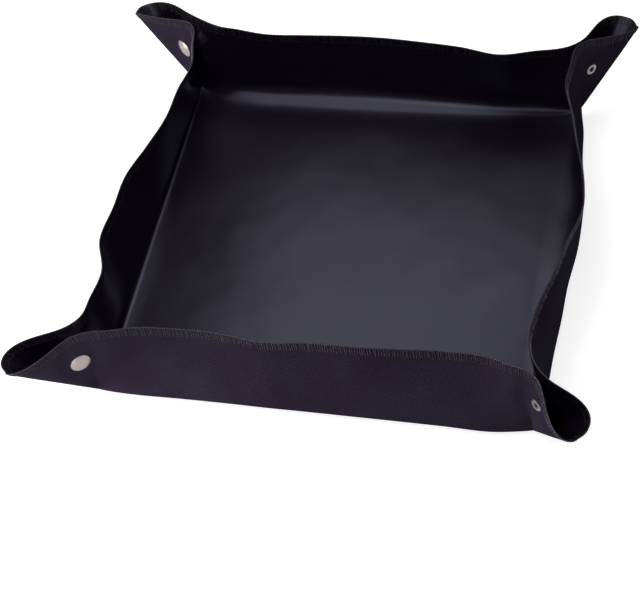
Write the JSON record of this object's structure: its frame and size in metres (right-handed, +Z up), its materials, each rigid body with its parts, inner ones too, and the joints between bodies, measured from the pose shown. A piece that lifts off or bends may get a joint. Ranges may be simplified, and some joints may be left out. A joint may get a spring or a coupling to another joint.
{
  "type": "folding potting mat",
  "caption": "Square coated cloth mat whose corners snap together into spouted ears, so that its edges stand up as low walls and it holds loose soil while potting.",
  "frame": {"origin": "middle of the floor's underside, on the surface that the tray stands on", "axes": "+Z up, front wall towards -Y, right wall towards +X"},
  "size_m": [0.4631, 0.4555, 0.0725],
  "materials": {
    "coated_sheet": "satin coating inside, matt weave outside",
    "edge_thread": "black overlock thread",
    "snap_metal": "satin nickel plate",
    "spring_wire": "plain spring wire"
  },
  "bodies": {
    "floor": {"floor_panel": "coated_sheet"},
    "front_wall": {"front_wall": "coated_sheet", "front_wall_edge_thread": "edge_thread"},
    "right_wall": {"right_wall": "coated_sheet", "right_wall_edge_thread": "edge_thread"},
    "back_wall": {"back_wall": "coated_sheet", "back_wall_edge_thread": "edge_thread"},
    "left_wall": {"left_wall": "coated_sheet", "left_wall_edge_thread": "edge_thread"},
    "front_left_cap_flap": {"front_left_cap_flap": "coated_sheet", "front_left_cap_flap_edge_thread": "edge_thread", "front_left_snap_cap": "snap_metal", "front_left_snap_socket": "snap_metal", "front_left_snap_spring": "spring_wire"},
    "front_left_stud_flap": {"front_left_stud_flap": "coated_sheet", "front_left_stud_flap_edge_thread": "edge_thread", "front_left_snap_stud": "snap_metal", "front_left_snap_post": "snap_metal"},
    "front_right_cap_flap": {"front_right_cap_flap": "coated_sheet", "front_right_cap_flap_edge_thread": "edge_thread", "front_right_snap_cap": "snap_metal", "front_right_snap_socket": "snap_metal", "front_right_snap_spring": "spring_wire"},
    "front_right_stud_flap": {"front_right_stud_flap": "coated_sheet", "front_right_stud_flap_edge_thread": "edge_thread", "front_right_snap_stud": "snap_metal", "front_right_snap_post": "snap_metal"},
    "back_right_cap_flap": {"back_right_cap_flap": "coated_sheet", "back_right_cap_flap_edge_thread": "edge_thread", "back_right_snap_cap": "snap_metal", "back_right_snap_socket": "snap_metal", "back_right_snap_spring": "spring_wire"},
    "back_right_stud_flap": {"back_right_stud_flap": "coated_sheet", "back_right_stud_flap_edge_thread": "edge_thread", "back_right_snap_stud": "snap_metal", "back_right_snap_post": "snap_metal"},
    "back_left_cap_flap": {"back_left_cap_flap": "coated_sheet", "back_left_cap_flap_edge_thread": "edge_thread", "back_left_snap_cap": "snap_metal", "back_left_snap_socket": "snap_metal", "back_left_snap_spring": "spring_wire"},
    "back_left_stud_flap": {"back_left_stud_flap": "coated_sheet", "back_left_stud_flap_edge_thread": "edge_thread", "back_left_snap_stud": "snap_metal", "back_left_snap_post": "snap_metal"}
  },
  "joints": [
    {"name": "front_wall_fold", "type": "hinge", "parent": "floor", "child": "front_wall", "pos_m": [0, -0.178, 0.0065], "axis": [1, 0, 0], "range_deg": [0, 86]},
    {"name": "right_wall_fold", "type": "hinge", "parent": "floor", "child": "right_wall", "pos_m": [0.178, 0, 0.0065], "axis": [0, 1, 0], "range_deg": [0, 79]},
    {"name": "back_wall_fold", "type": "hinge", "parent": "floor", "child": "back_wall", "pos_m": [0, 0.178, 0.0065], "axis": [-1, 0, 0], "range_deg": [0, 83]},
    {"name": "left_wall_fold", "type": "hinge", "parent": "floor", "child": "left_wall", "pos_m": [-0.178, 0, 0.0065], "axis": [0, -1, 0], "range_deg": [0, 80]},
    {"name": "front_left_cap_flap_fold", "type": "hinge", "parent": "front_wall", "child": "front_left_cap_flap", "pos_m": [-0.178, -0.178, 0.0065], "axis": [0, 0, -1], "range_deg": [0, 35.6]},
    {"name": "front_left_stud_flap_fold", "type": "hinge", "parent": "left_wall", "child": "front_left_stud_flap", "pos_m": [-0.178, -0.178, 0.0065], "axis": [0, 0, 1], "range_deg": [0, 43.6]},
    {"name": "front_right_cap_flap_fold", "type": "hinge", "parent": "right_wall", "child": "front_right_cap_flap", "pos_m": [0.178, -0.178, 0.0065], "axis": [0, 0, -1], "range_deg": [0, 39.1]},
    {"name": "front_right_stud_flap_fold", "type": "hinge", "parent": "front_wall", "child": "front_right_stud_flap", "pos_m": [0.178, -0.178, 0.0065], "axis": [0, 0, 1], "range_deg": [0, 40.2]},
    {"name": "back_right_cap_flap_fold", "type": "hinge", "parent": "back_wall", "child": "back_right_cap_flap", "pos_m": [0.178, 0.178, 0.0065], "axis": [0, 0, -1], "range_deg": [0, 41.2]},
    {"name": "back_right_stud_flap_fold", "type": "hinge", "parent": "right_wall", "child": "back_right_stud_flap", "pos_m": [0.178, 0.178, 0.0065], "axis": [0, 0, 1], "range_deg": [0, 35.1]},
    {"name": "back_left_cap_flap_fold", "type": "hinge", "parent": "left_wall", "child": "back_left_cap_flap", "pos_m": [-0.178, 0.178, 0.0065], "axis": [0, 0, -1], "range_deg": [0, 44.7]},
    {"name": "back_left_stud_flap_fold", "type": "hinge", "parent": "back_wall", "child": "back_left_stud_flap", "pos_m": [-0.178, 0.178, 0.0065], "axis": [0, 0, 1], "range_deg": [0, 31.7]}
  ],
  "couplings": [
    {"joint": "right_wall_fold", "follows": "front_wall_fold", "ratio": 0.9186},
    {"joint": "back_wall_fold", "follows": "front_wall_fold", "ratio": 0.9651},
    {"joint": "left_wall_fold", "follows": "front_wall_fold", "ratio": 0.9302},
    {"joint": "front_left_cap_flap_fold", "follows": "front_wall_fold", "ratio": 0.4136},
    {"joint": "front_left_stud_flap_fold", "follows": "front_wall_fold", "ratio": 0.5062},
    {"joint": "front_right_cap_flap_fold", "follows": "front_wall_fold", "ratio": 0.4546},
    {"joint": "front_right_stud_flap_fold", "follows": "front_wall_fold", "ratio": 0.4667},
    {"joint": "back_right_cap_flap_fold", "follows": "front_wall_fold", "ratio": 0.478},
    {"joint": "back_right_stud_flap_fold", "follows": "front_wall_fold", "ratio": 0.4077},
    {"joint": "back_left_cap_flap_fold", "follows": "front_wall_fold", "ratio": 0.5191},
    {"joint": "back_left_stud_flap_fold", "follows": "front_wall_fold", "ratio": 0.3683}
  ]
}
